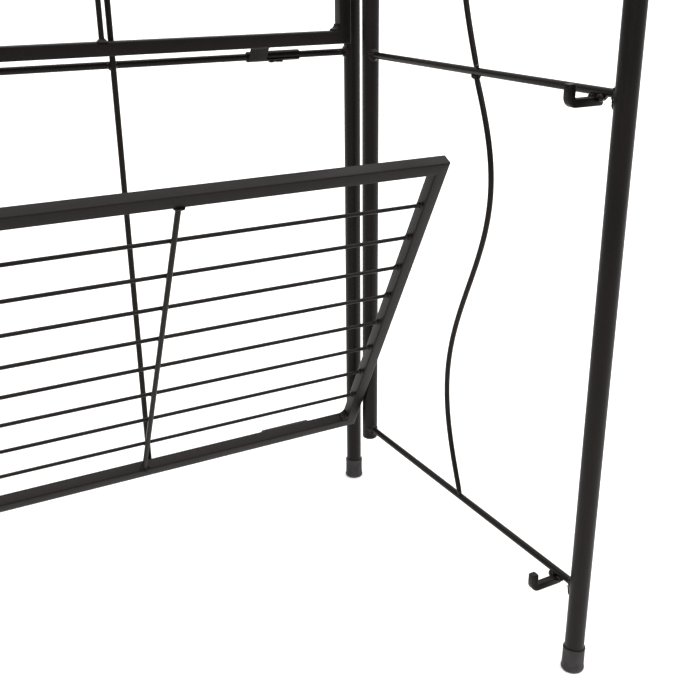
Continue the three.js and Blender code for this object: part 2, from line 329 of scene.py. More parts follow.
@dataclass(frozen=True)
class SeamlessPaper:
    """The studio's floor: matte white paper, painted grey well in front of the rack as painted shade.

    The tubes mirror the floor before them, so this painted grey makes their upper parts come out darker
    than their feet.
    """

    name: str = "seamless_paper"
    dark: str = "#f6f5f3"
    light: str = "#fbfaf9"
    # Painted shade: the grey that the paper is painted with well in front of the rack, for the tubes to
    # mirror.
    front: str = "#c6c5c3"
    fibre: float = 40 * MM
    fade_start: float = 20 * MM
    fade_end: float = 1000 * MM
    front_yaw: float = VIEW_YAW

    def material(self) -> bpy.types.Material:
        """Builds the material.

        Returns:
            The material.
        """
        material, tree = empty_material(self.name)
        place = add_node(tree, "ShaderNodeTexCoord", {}).outputs["Object"]
        fibres = add_node(
            tree, "ShaderNodeTexNoise", {"Vector": place, "Scale": per_metre(self.fibre), "Detail": 2.0}
        )
        paper = two_tone(tree, fibres.outputs["Fac"], self.dark, self.light)
        # Painted shade: the paper is painted grey from fade_start to fade_end in front of the rack, along
        # the view's level direction.
        yaw = math.radians(self.front_yaw)
        forward = (-math.sin(yaw), -math.cos(yaw), 0.0)
        before = add_node(tree, "ShaderNodeVectorMath", {0: place, 1: forward}, operation="DOT_PRODUCT")
        painted_shade_mask = add_node(
            tree,
            "ShaderNodeMapRange",
            {"Value": before.outputs["Value"], "From Min": self.fade_start, "From Max": self.fade_end},
            interpolation_type="SMOOTHSTEP",
        )
        colour = add_node(
            tree,
            "ShaderNodeMix",
            {"Factor": painted_shade_mask.outputs["Result"], "A": paper.outputs["Color"], "B": linear(self.front)},
            data_type="RGBA",
        )
        shader = add_node(
            tree,
            "ShaderNodeBsdfPrincipled",
            {"Base Color": colour.outputs["Result"], "Roughness": 0.95, "Specular IOR Level": 0.1},
        )
        add_node(tree, "ShaderNodeOutputMaterial", {"Surface": shader.outputs["BSDF"]})
        return material


@dataclass
class Dress:
    """A finish with its material, made once."""

    finish: PowderCoat | MouldedRubber
    material: bpy.types.Material = field(init=False)

    def __post_init__(self) -> None:
        """Makes the material."""
        self.material = self.finish.material()


@dataclass
class Wardrobe:
    """The finishes that the rack wears."""

    tube: Dress = field(init=False)
    rod: Dress = field(init=False)
    weld: Dress = field(init=False)
    rubber: Dress = field(init=False)

    def __post_init__(self) -> None:
        """Makes each finish once."""
        coat = "black_powder_coat"
        self.tube = Dress(
            PowderCoat("coated_tube", coat, "#090707", "#120f0e", 0.34, 0.48, 1.7 * MM, 0.04 * MM)
        )
        # Drawn rod takes a thinner coat than tube, so its peel is finer and it looks a bit glossier.
        self.rod = Dress(
            PowderCoat("coated_rod", coat, "#080706", "#110e0d", 0.30, 0.44, 1.1 * MM, 0.035 * MM)
        )
        # The coat pools on the rough weld metal and gives small uneven glints.
        self.weld = Dress(
            PowderCoat("coated_weld", coat, "#0c0a09", "#181412", 0.20, 0.36, 0.9 * MM, 0.15 * MM)
        )
        self.rubber = Dress(MouldedRubber())


# ---------------------------------------------------------------- drawing


def unit(v: np.ndarray) -> np.ndarray:
    """A vector scaled to length 1."""
    return v / np.linalg.norm(v)


def across(axis: np.ndarray, hint: np.ndarray) -> tuple[np.ndarray, np.ndarray]:
    """Two unit directions square to an axis, the first as near as it can be to a hint."""
    first = unit(hint - axis * np.dot(hint, axis))
    return first, np.cross(axis, first)


def round_section(radius: float, sides: int) -> np.ndarray:
    """A circle as an (n, 2) array."""
    turn = np.arange(sides) * 2 * math.pi / sides
    return radius * np.stack([np.cos(turn), np.sin(turn)], 1)


def rounded_box(width: float, height: float, corner: float, steps: int = 5) -> np.ndarray:
    """A rectangle with round corners, about its middle.

    Args:
        width: Its width.
        height: Its height.
        corner: The radius of its corners.
        steps: The number of steps round a corner.

    Returns:
        Its points, as an (n, 2) array.
    """
    points = []
    for quarter, (sx, sy) in enumerate([(1, 1), (-1, 1), (-1, -1), (1, -1)]):
        for i in range(steps + 1):
            turn = (quarter + i / steps) * math.pi / 2
            points.append(
                [
                    sx * (width / 2 - corner) + corner * math.cos(turn),
                    sy * (height / 2 - corner) + corner * math.sin(turn),
                ]
            )
    return np.array(points)


@dataclass
class Draft:
    """A piece being drawn, as closed skins in its own coordinates.

    Attributes:
        origin: Where the piece's own origin lies in the rack.
        basis: The piece's own three axes, as columns.
    """

    origin: np.ndarray = field(default_factory=lambda: np.zeros(3))
    basis: np.ndarray = field(default_factory=lambda: np.eye(3))
    points: list[np.ndarray] = field(default_factory=list)
    faces: list[tuple[int, ...]] = field(default_factory=list)
    total: int = 0

    def skin(self, rings: list[np.ndarray], looped: bool = False) -> None:
        """Adds a closed skin over rings of one length.

        Args:
            rings: Each ring's points, as (n, 3) arrays.
            looped: Whether the last ring joins the first. If not, both ends are capped.
        """
        count = len(rings[0])
        start = self.total
        self.points.extend(rings)
        self.total += count * len(rings)
        for i in range(len(rings) if looped else len(rings) - 1):
            near = start + i * count
            far = start + (i + 1) % len(rings) * count
            for j in range(count):
                k = (j + 1) % count
                self.faces.append((near + j, near + k, far + k, far + j))
        if not looped:
            self.faces.append(tuple(range(start + count - 1, start - 1, -1)))
            self.faces.append(tuple(range(self.total - count, self.total)))

    def sweep(
        self,
        path: np.ndarray,
        section: np.ndarray,
        side: np.ndarray,
        scales: list[float] | None = None,
    ) -> None:
        """Sweeps a section along a flat path.

        Args:
            path: The path's points, as an (m, 3) array.
            section: The section, first along `side` and then square to side and path.
            side: The unit direction square to the path's plane.
            scales: The section's scale at each point. All are 1 if it isn't given.
        """
        travel = np.gradient(path, axis=0)
        rings = []
        for i, point in enumerate(path):
            other = np.cross(side, unit(travel[i]))
            flat = section * (scales[i] if scales else 1.0)
            rings.append(point + flat[:, :1] * side + flat[:, 1:] * other)
        self.skin(rings)

    def lathe(
        self,
        foot: np.ndarray,
        axis: np.ndarray,
        profile: list[tuple[float, float]],
        sides: int,
        looped: bool = False,
        rim_wave: float = 0.0,
    ) -> None:
        """Turns a profile about an axis.

        Args:
            foot: The point on the axis from which heights are measured.
            axis: The unit axis.
            profile: Radius and height of each ring.
            sides: The number of points round each ring.
            looped: Whether the profile closes on itself.
            rim_wave: How far the rings wave up and down, in proportion to their height squared.
        """
        first, second = across(axis, X_AXIS if abs(axis[0]) < 0.9 else Y_AXIS)
        turn = np.arange(sides) * 2 * math.pi / sides
        radial = np.outer(np.cos(turn), first) + np.outer(np.sin(turn), second)
        top = max(height for _, height in profile)
        rings = []
        for radius, height in profile:
            wave = rim_wave * (height / top) ** 2 * np.sin(2 * turn + 0.7) if rim_wave else 0.0 * turn
            rings.append(foot + radius * radial + np.outer(height + wave, axis))
        self.skin(rings, looped)

    def rod(self, start: np.ndarray, end: np.ndarray, radius: float, sides: int = 20) -> None:
        """Adds a straight round rod with slightly broken edges.

        Args:
            start: The middle of its first end.
            end: The middle of its last end.
            radius: Its radius.
            sides: The number of points round it.
        """
        length = float(np.linalg.norm(end - start))
        profile = [(radius - ROD_CHAMFER, 0.0), (radius, ROD_CHAMFER), (radius, length / 2)]
        profile += [(radius, length - ROD_CHAMFER), (radius - ROD_CHAMFER, length)]
        self.lathe(start, unit(end - start), profile, sides)

    def lump(self, centre: np.ndarray, size: Triple, seed: float) -> None:
        """Adds one blob of weld metal: a lumpy ellipsoid.

        Args:
            centre: The blob's middle.
            size: Its three half widths.
            seed: Chooses its shape.
        """
        bands, sides, pole = 8, 14, math.radians(8)
        lumpiness, lumps = 0.22, 1.6
        shift = Vector((seed, 2.1 * seed, -seed))
        rings = []
        for band in range(bands + 1):
            tilt = pole + band / bands * (math.pi - 2 * pole)
            out = math.sin(tilt)
            ring = []
            for j in range(sides):
                turn = j * 2 * math.pi / sides
                way = np.array([out * math.cos(turn), out * math.sin(turn), math.cos(tilt)])
                swell = 1 + lumpiness * noise.noise(Vector(way * lumps) + shift)
                ring.append(centre + way * np.array(size) * swell)
            rings.append(np.array(ring))
        self.skin(rings)

    def weld_run(self, start: np.ndarray, end: np.ndarray, size: Triple, count: int, seed: float) -> None:
        """Adds a short run of overlapping blobs between two points.

        Args:
            start: Where the run starts.
            end: Where it ends.
            size: A blob's three half widths.
            count: The number of blobs.
            seed: Chooses their shapes.
        """
        for i in range(count):
            share = (i + 0.5) / count
            place = start + (end - start) * share
            grown = 1 + 0.18 * math.sin(3.7 * i + seed)
            self.lump(place, tuple(s * grown for s in size), seed + 1.7 * i)

    def bead(
        self,
        foot: np.ndarray,
        axis: np.ndarray,
        radius: float,
        leg: float,
        seed: float,
        tube_axis: np.ndarray | None = None,
        tube_radius: float = 0.0,
    ) -> None:
        """Adds the weld bead round a rod's end.

        Args:
            foot: Where the rod's axis meets the surface.
            axis: The unit direction from the surface along the rod.
            radius: The rod's radius.
            leg: The bead's width on the surface, and its height up the rod.
            seed: Chooses the bead's unevenness.
            tube_axis: The direction of the tube that the rod lands on. A flat face has none.
            tube_radius: That tube's radius.
        """
        sides, steps = 28, 5
        bulge, dip = 0.6, 0.4
        sunk, overlap = 0.5 * MM, 0.3 * MM
        hint = X_AXIS if abs(axis[0]) < 0.9 else Y_AXIS
        along, over = across(axis, hint if tube_axis is None else tube_axis)
        turn = np.arange(sides) * 2 * math.pi / sides
        uneven = 1 + 0.2 * np.sin(3 * turn + seed) + 0.12 * np.sin(7 * turn + 2.3 * seed)
        outline = []
        for i in range(steps + 1):
            a = i / steps * math.pi / 2
            convex = (math.cos(a), math.sin(a))
            concave = (1 - math.sin(a), 1 - math.cos(a))
            outline.append(tuple(bulge * c + dip * d for c, d in zip(convex, concave)))
        rings = []
        for out, up in outline:
            rings.append((radius + leg * uneven * out, leg * uneven * up))
        rings.append((np.full(sides, radius - overlap), rings[-1][1]))
        rings.append((np.full(sides, radius - overlap), np.full(sides, -sunk)))
        rings.append((rings[0][0], np.full(sides, -sunk)))
        placed = []
        for out, up in rings:
            drop = 0.0
            if tube_axis is not None:
                reach = 0.97 * tube_radius
                off = np.clip(out * np.sin(turn), -reach, reach)
                drop = tube_radius - np.sqrt(tube_radius**2 - off**2)
            placed.append(
                foot
                + np.outer(out * np.cos(turn), along)
                + np.outer(out * np.sin(turn), over)
                + np.outer(up - drop, axis)
            )
        self.skin(placed, looped=True)

    def finish(self, name: str, dress: Dress, body: str, nodes: tuple[str, ...] = ()) -> None:
        """Turns the draft into a piece that rides on a body.

        Args:
            name: The piece's name.
            dress: What it wears.
            body: The body that it rides on.
            nodes: The plain solids that it stands for.
        """
        mesh = bpy.data.meshes.new(name)
        placed = self.origin + np.concatenate(self.points) @ self.basis.T
        mesh.from_pydata(placed.tolist(), [], self.faces)
        sheet = bmesh.new()
        sheet.from_mesh(mesh)
        bmesh.ops.recalc_face_normals(sheet, faces=sheet.faces)
        sheet.to_mesh(mesh)
        sheet.free()
        mesh.shade_smooth()
        mesh.set_sharp_from_angle(angle=math.radians(SHARP_EDGE))
        mesh.materials.append(dress.material)
        piece = bpy.data.objects.new(name, mesh)
        bpy.context.scene.collection.objects.link(piece)
        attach(piece, body)
        if nodes:
            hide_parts(*nodes)
        LOG.info("%s: %d points on %s", name, len(placed), body)


# ---------------------------------------------------------------- the rack's plan


@dataclass(frozen=True)
class Stock:
    """The stock sizes that the rack is made from."""

    leg: float = 6.35 * MM
    bend: float = 45 * MM
    hinge_rod: float = 2.55 * MM
    upright: float = 2.1 * MM
    rail: float = 2.45 * MM
    wave: float = 1.9 * MM
    tube: float = 9.5 * MM
    wire: float = 1.4 * MM
    brace: float = 1.9 * MM
    hook: float = 5 * MM
    sheet: float = 1 * MM


@dataclass(frozen=True)
class Plan:
    """The lines that the rack is built on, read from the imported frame."""

    stock: Stock
    back_leg_x: float
    back_y: float
    side_x: float
    rear_leg_y: float
    front_leg_y: float
    top: float
    heights: dict[Tier, float]

    @classmethod
    def read(cls, record: dict, joints: list[dict]) -> Plan:
        """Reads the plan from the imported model.

        Args:
            record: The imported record.
            joints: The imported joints.

        Returns:
            The plan.
        """
        stock = Stock()
        rests = {mount["name"]: mount["pos_m"] for mount in record["mounts"]}
        pivots = {joint["name"]: joint["pos_m"] for joint in joints}
        bar_low, bar_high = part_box("back_frame_tube")
        back_leg_x, back_y, _ = rests["rest_back_right"]
        plain_radius = (bar_high.y - bar_low.y) / 2
        return cls(
            stock=stock,
            back_leg_x=back_leg_x,
            back_y=back_y,
            side_x=rests["rest_front_right"][0],
            rear_leg_y=pivots["side_frame_right_hinge"][1],
            front_leg_y=rests["rest_front_right"][1],
            top=bar_high.z - plain_radius,
            heights={tier: pivots[f"{tier.value}_shelf_hinge"][2] for tier in Tier},
        )


def hoop_path(
    plan: Plan, low_first: float, first: float, last: float, low_last: float
) -> list[tuple[float, float]]:
    """The centre line of a bent hoop: a leg, a bend, a top bar, a bend and a leg.

    Args:
        plan: The rack's plan.
        low_first: The first leg's lower end.
        first: The first leg's place across.
        last: The last leg's place across.
        low_last: The last leg's lower end.

    Returns:
        Place across and height of each point.
    """
    bend, steps, legs = plan.stock.bend, 18, 12
    way = math.copysign(1, last - first)
    straight = plan.top - bend
    points = [(first, low_first + (straight - low_first) * i / legs) for i in range(legs)]
    for centre, start in ((first + way * bend, math.pi), (last - way * bend, math.pi / 2)):
        for i in range(steps + 1):
            turn = start - i * math.pi / 2 / steps
            points.append((centre + way * bend * math.cos(turn), straight + bend * math.sin(turn)))
    points += [(last, straight + (low_last - straight) * (i + 1) / legs) for i in range(legs)]
    return points


@dataclass
class Foot:
    """A rubber cup pushed over the end of a leg."""

    stock: Stock
    wall: float = 0.85 * MM
    flare: float = 0.4 * MM
    rim_wave: float = 0.35 * MM

    def build(self, node: str, body: str, dress: Dress) -> None:
        """Draws the cup where its plain solid stands.

        Args:
            node: The plain solid.
            body: The body that the cup rides on.
            dress: What it wears.
        """
        low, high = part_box(node)
        height = high.z - low.z - self.rim_wave
        bore = self.stock.leg + 0.05 * MM
        wall = bore + self.wall
        edge = wall + self.flare
        profile = [(edge - 1.5 * MM, 0.0), (edge - 0.8 * MM, 0.12 * MM), (edge - 0.3 * MM, 0.45 * MM)]
        profile += [(edge - 0.05 * MM, 1.0 * MM), (edge, 1.7 * MM), (edge - 0.12 * MM, 2.5 * MM)]
        # A shallow parting groove above the sole, then the straight wall up to a rolled rim.
        profile += [(wall - 0.05 * MM, 3.1 * MM), (wall, 3.7 * MM), (wall - 0.03 * MM, height * 0.6)]
        profile += [(wall, height - 1.6 * MM), (wall + 0.12 * MM, height - 0.9 * MM)]
        profile += [(wall + 0.05 * MM, height - 0.3 * MM), (wall - 0.25 * MM, height)]
        profile += [(bore + 0.15 * MM, height), (bore, height - 0.3 * MM), (bore, 3 * MM)]
        draft = Draft()
        middle = np.array([(low.x + high.x) / 2, (low.y + high.y) / 2, low.z])
        draft.lathe(middle, Z_AXIS, profile, 56, rim_wave=self.rim_wave)
        draft.finish(f"{node}_cup", dress, body, (node,))


@dataclass
class BackFrame:
    """The back frame: a bent hoop with hinge rods and uprights welded in, and the leg straps."""

    plan: Plan
    wear: Wardrobe
    body: str = "back_frame"
    bead: float = 2.2 * MM
    rod_blob: Triple = (2.6 * MM, 1.7 * MM, 1.8 * MM)
    top_blob: Triple = (2.9 * MM, 2.6 * MM, 1.4 * MM)
    cross_blob: Triple = (1.7 * MM, 1.5 * MM, 1.9 * MM)
    cross_trail: Triple = (1.6 * MM, 1.1 * MM, 1.2 * MM)
    strap_blob: Triple = (1.2 * MM, 1.2 * MM, 1.9 * MM)

    def build(self) -> None:
        """Draws the back frame's pieces."""
        welds = Draft()
        self.build_hoop()
        self.build_rods(welds)
        self.build_uprights(welds)
        for side in Side:
            Foot(self.plan.stock).build(f"back_foot_{side.word}", self.body, self.wear.rubber)
            for level in ("lower", "upper"):
                self.build_strap(level, side, welds)
        welds.finish("back_frame_welds", self.wear.weld, self.body)

    def build_hoop(self) -> None:
        """Draws the bent tube."""
        plan = self.plan
        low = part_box("back_frame_tube")[0].z
        line = hoop_path(plan, low, -plan.back_leg_x, plan.back_leg_x, low)
        path = np.array([[x, plan.back_y, z] for x, z in line])
        draft = Draft()
        draft.sweep(path, round_section(plan.stock.leg, 40), Y_AXIS)
        draft.finish("back_frame_bent_tube", self.wear.tube, self.body, ("back_frame_tube",))

    def build_rods(self, welds: Draft) -> None:
        """Draws the hinge rods and the beads at their ends.

        Args:
            welds: The draft that takes the beads.
        """
        plan, stock = self.plan, self.plan.stock
        reach = plan.back_leg_x - stock.leg + 0.6 * MM
        for number, (tier, height) in enumerate(plan.heights.items()):
            ends = [np.array([side.value * reach, plan.back_y, height]) for side in Side]
            draft = Draft()
            draft.rod(ends[0], ends[1], stock.hinge_rod, 24)
            node = f"hinge_rod_{tier.value}"
            draft.finish(f"{node}_bar", self.wear.rod, self.body, (node,))
            for side in Side:
                foot = np.array([side.value * (plan.back_leg_x - stock.leg), plan.back_y, height])
                inward = -side.value * X_AXIS
                seed = 2.0 * number + side.value
                welds.bead(foot, inward, stock.hinge_rod, self.bead, seed, Z_AXIS, stock.leg)
                for drop, out in ((1.6, 0.9), (-1.9, 0.2)):
                    blob = foot + np.array([inward[0] * out * MM, -2.6 * MM, drop * MM])
                    welds.lump(blob, self.rod_blob, number + drop + side.value)

    def build_uprights(self, welds: Draft) -> None:
        """Draws the uprights and the fillets where they cross the hinge rods.

        Args:
            welds: The draft that takes the fillets.
        """
        plan, stock = self.plan, self.plan.stock
        for side in Side:
            node = f"back_upright_{side.word}"
            low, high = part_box(node)
            x, y = (low.x + high.x) / 2, (low.y + high.y) / 2
            top = plan.top - stock.leg + 0.4 * MM
            draft = Draft()
            draft.rod(np.array([x, y, low.z]), np.array([x, y, top]), stock.upright, 20)
            draft.finish(f"{node}_bar", self.wear.rod, self.body, (node,))
            top_foot = np.array([x, plan.back_y, plan.top - stock.leg])
            welds.lump(top_foot + np.array([0, -2.5 * MM, 0.4 * MM]), self.top_blob, 4.0)
            for number, height in enumerate(plan.heights.values()):
                for way in (-1, 1):
                    centre = np.array([x + way * 2.3 * MM, (y + plan.back_y) / 2 - 0.3 * MM, height])
                    welds.lump(centre, self.cross_blob, 3.0 * number + way + x)
                    above = centre + np.array([-way * 1.2 * MM, 0.4 * MM, way * 2.1 * MM])
                    welds.lump(above, self.cross_trail, 5.0 * number + way - x)

    def build_strap(self, level: str, side: Side, welds: Draft) -> None:
        """Draws a strap bent round the side frame's rear leg, with its tails on the back leg.

        Args:
            level: Which of the side's two straps it is.
            side: The side that it is on.
            welds: The draft that takes its weld.
        """
        plan, stock = self.plan, self.plan.stock
        node = f"leg_strap_{level}_{side.word}"
        low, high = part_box(node)
        x = side.value * plan.side_x
        middle = (low.z + high.z) / 2
        radius = (high.x - low.x) / 2 - stock.sheet / 2
        tail = high.y - plan.rear_leg_y
        half = stock.sheet / 2
        opening = math.asin(half / radius)
        arc = [math.pi / 2 + opening + i / 40 * 2 * (math.pi - opening) for i in range(41)]
        flat = [(-half, tail - i / 6 * (tail - radius * 1.06)) for i in range(7)]
        flat += [(radius * math.cos(a), radius * math.sin(a)) for a in arc]
        flat += [(half, y) for _, y in reversed(flat[:7])]
        path = np.array([[x + u, plan.rear_leg_y + v, middle] for u, v in flat])
        section = rounded_box(high.z - low.z, stock.sheet * 0.96, 0.3 * MM, 3)
        draft = Draft()
        draft.sweep(path, section, Z_AXIS)
        draft.finish(f"{node}_sheet", self.wear.tube, self.body, (node,))
        for way in (-1, 1):
            ends = [np.array([x + way * 1.6 * MM, plan.rear_leg_y + tail, z]) for z in (low.z, high.z)]
            welds.weld_run(ends[0], ends[1], self.strap_blob, 5, way + middle * 7)


@dataclass
class SideFrame:
    """A side frame: a bent hoop with three rails, three wavy rods and three hooks."""

    plan: Plan
    wear: Wardrobe
    side: Side
    wave_swing: float = 21 * MM
    wave_skew: float = 0.03
    wave_steps: int = 72
    end_reach: float = 0.12
    end_pinch: float = 0.86
    hook_bend: float = 6 * MM
    hook_corner: float = 0.7 * MM
    bead: float = 2.4 * MM
    rail_blob: Triple = (1.9 * MM, 1.6 * MM, 1.5 * MM)
    wave_blob: Triple = (1.5 * MM, 1.7 * MM, 1.9 * MM)
    hook_blob: Triple = (1.8 * MM, 2.5 * MM, 2.1 * MM)
    hook_wing: Triple = (1.6 * MM, 2.3 * MM, 1.3 * MM)
    welds: Draft = field(default_factory=Draft)

    @property
    def body(self) -> str:
        """The body that the frame's pieces ride on."""
        return f"side_frame_{self.side.word}"

    @property
    def x(self) -> float:
        """The frame's plane."""
        return self.side.value * self.plan.side_x

    def build(self) -> None:
        """Draws the side frame's pieces."""
        self.build_hoop()
        Foot(self.plan.stock).build(f"front_foot_{self.side.word}", self.body, self.wear.rubber)
        for number, tier in enumerate(Tier):
            self.build_rail(tier, number)
            self.build_wave(tier, number)
            self.build_hook(tier, number)
        self.welds.finish(f"{self.body}_welds", self.wear.weld, self.body)

    def build_hoop(self) -> None:
        """Draws the bent tube, the dome that closes its rear leg, and its collar."""
        plan, stock, word = self.plan, self.plan.stock, self.side.word
        low_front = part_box(f"side_frame_tube_{word}")[0].z
        low_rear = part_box(f"rear_leg_plug_{word}")[1].z
        line = hoop_path(plan, low_front, plan.front_leg_y, plan.rear_leg_y, low_rear)
        draft = Draft()
        path = np.array([[self.x, y, z] for y, z in line])
        draft.sweep(path, round_section(stock.leg, 40), X_AXIS)
        draft.finish(f"{self.body}_bent_tube", self.wear.tube, self.body, (f"side_frame_tube_{word}",))

        node = f"rear_leg_plug_{word}"
        low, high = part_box(node)
        drop = high.z - low.z
        turns = [i / 8 * math.pi / 2 for i in range(1, 9)]
        profile = [(stock.leg * math.sin(a) ** 0.7, drop * 0.6 * (1 - math.cos(a)) ** 1.3) for a in turns]
        profile += [(stock.leg, drop + 0.2 * MM)]
        dome = Draft()
        dome.lathe(np.array([self.x, plan.rear_leg_y, low.z]), Z_AXIS, profile, 40)
        dome.finish(f"{node}_dome", self.wear.tube, self.body, (node,))

        node = f"rear_leg_collar_{word}"
        low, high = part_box(node)
        outer, inner, tall = (high.x - low.x) / 2, stock.leg - 0.05 * MM, high.z - low.z
        edge = 0.3 * MM
        profile = [(inner, 0.0), (outer - edge, 0.0), (outer, edge), (outer, tall - edge)]
        profile += [(outer - edge, tall), (inner, tall + 0.1 * MM)]
        ring = Draft()
        ring.lathe(np.array([self.x, plan.rear_leg_y, low.z]), Z_AXIS, profile, 40, looped=True)
        ring.finish(f"{node}_ring", self.wear.tube, self.body, (node,))

    def build_rail(self, tier: Tier, number: int) -> None:
        """Draws a rail and the beads at its two ends.

        Args:
            tier: The tier that it is on.
            number: The tier's number, which varies the welds.
        """
        plan, stock = self.plan, self.plan.stock
        height = plan.heights[tier]
        front, rear = plan.front_leg_y + stock.leg, plan.rear_leg_y - stock.leg
        node = f"side_rail_{tier.value}_{self.side.word}"
        draft = Draft()
        sunk = 0.6 * MM
        ends = [np.array([self.x, y, height]) for y in (front - sunk, rear + sunk)]
        draft.rod(ends[0], ends[1], stock.rail, 24)
        draft.finish(f"{node}_bar", self.wear.rod, self.body, (node,))
        for y, way in ((front, Y_AXIS), (rear, -Y_AXIS)):
            foot = np.array([self.x, y, height])
            self.welds.bead(foot, way, stock.rail, self.bead, 1.3 * number + y * 40, Z_AXIS, stock.leg)
            for drop, out in ((2.2, 0.8), (-2.4, 1.0)):
                blob = foot + way * out * MM + np.array([-self.side.value * 1.5 * MM, 0.0, drop * MM])
                self.welds.lump(blob, self.rail_blob, number + drop + y * 10)
        for drop, size in ((1.6, 2.2), (3.6, 1.5)):
            low = height - stock.rail - drop * MM
            drip = np.array([self.x - self.side.value * 1.2 * MM, front + 0.1 * MM, low])
            self.welds.lump(drip, (2.4 * MM, size * MM, 2.6 * MM), 2.2 * number + drop)

    def build_wave(self, tier: Tier, number: int) -> None:
        """Draws a wavy rod, its ends cut square, and the blobs of weld that hold it.

        Args:
            tier: The tier that it is on.
            number: The tier's number, which varies the welds.
        """
        plan, stock = self.plan, self.plan.stock
        node = f"wave_rod_{tier.value}_{self.side.word}"
        low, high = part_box(node)
        middle = (plan.rear_leg_y + plan.front_leg_y) / 2
        length = high.z - low.z
        steps = self.wave_steps
        line = []
        for i in range(steps + 1):
            t = i / steps
            turn = 2 * math.pi * (t - self.wave_skew * math.sin(math.pi * t))
            line.append([self.x, middle + self.wave_swing * math.sin(turn), low.z + length * t])
        path = np.array(line)
        path[0] += (path[0] - path[1]) * self.end_reach
        path[-1] += (path[-1] - path[-2]) * self.end_reach
        scales = [self.end_pinch] + [1.0] * (steps - 1) + [self.end_pinch]
        draft = Draft()
        draft.sweep(path, round_section(stock.wave, 20), X_AXIS, scales)
        draft.finish(f"{node}_bar", self.wear.rod, self.body, (node,))
        for end, way in ((path[0], 1), (path[-1], -1)):
            for lean in (-1, 1):
                centre = end + np.array([lean * 0.9 * MM, lean * way * 1.4 * MM, way * 0.6 * MM])
                self.welds.lump(centre, self.wave_blob, 1.9 * number + lean + way)

    def build_hook(self, tier: Tier, number: int) -> None:
        """Draws a hook of square bar, bent up at its inner end, and its welds under the rail.

        Args:
            tier: The tier that it is on.
            number: The tier's number, which varies the welds.
        """
        plan, stock = self.plan, self.plan.stock
        node = f"hook_{tier.value}_{self.side.word}"
        low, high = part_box(node)
        inward = -self.side.value
        bar = stock.hook
        y = (low.y + high.y) / 2
        reach = high.x - low.x
        root = -stock.rail
        floor = low.z + bar / 2
        radius = self.hook_bend - bar / 2
        corner = root + reach - bar / 2 - radius
        line = [(root, floor), (root + 0.5 * MM, floor), (root + 1.2 * MM, floor), (root + 2.2 * MM, floor)]
        line += [(root + (corner - root) * s, floor) for s in (0.35, 0.7)]
        for i in range(11):
            turn = -math.pi / 2 + i / 10 * math.pi / 2
            line.append((corner + radius * math.cos(turn), floor + radius + radius * math.sin(turn)))
        tip = high.z
        line += [(corner + radius, tip - 0.7 * MM), (corner + radius, tip)]
        path = np.array([[self.x + inward * a, y, z] for a, z in line])
        scales = [0.5, 0.78, 0.93] + [1.0] * (len(line) - 4) + [0.88]
        draft = Draft()
        draft.sweep(path, rounded_box(bar, bar, self.hook_corner, 4), Y_AXIS, scales)
        draft.finish(f"{node}_bar", self.wear.rod, self.body, (node,))
        rail_foot = plan.heights[tier] - stock.rail
        for way in (-1, 1):
            start = np.array([self.x - inward * 1.4 * MM, y + way * 3.3 * MM, rail_foot + 0.2 * MM])
            end = start + np.array([inward * 4.2 * MM, way * 0.4 * MM, -0.8 * MM])
            self.welds.weld_run(start, end, self.hook_blob, 3, 2.4 * number + way)
            wing = np.array([self.x, y + way * 5.2 * MM, rail_foot + 0.5 * MM])
            self.welds.lump(wing, self.hook_wing, 3.1 * number + way)


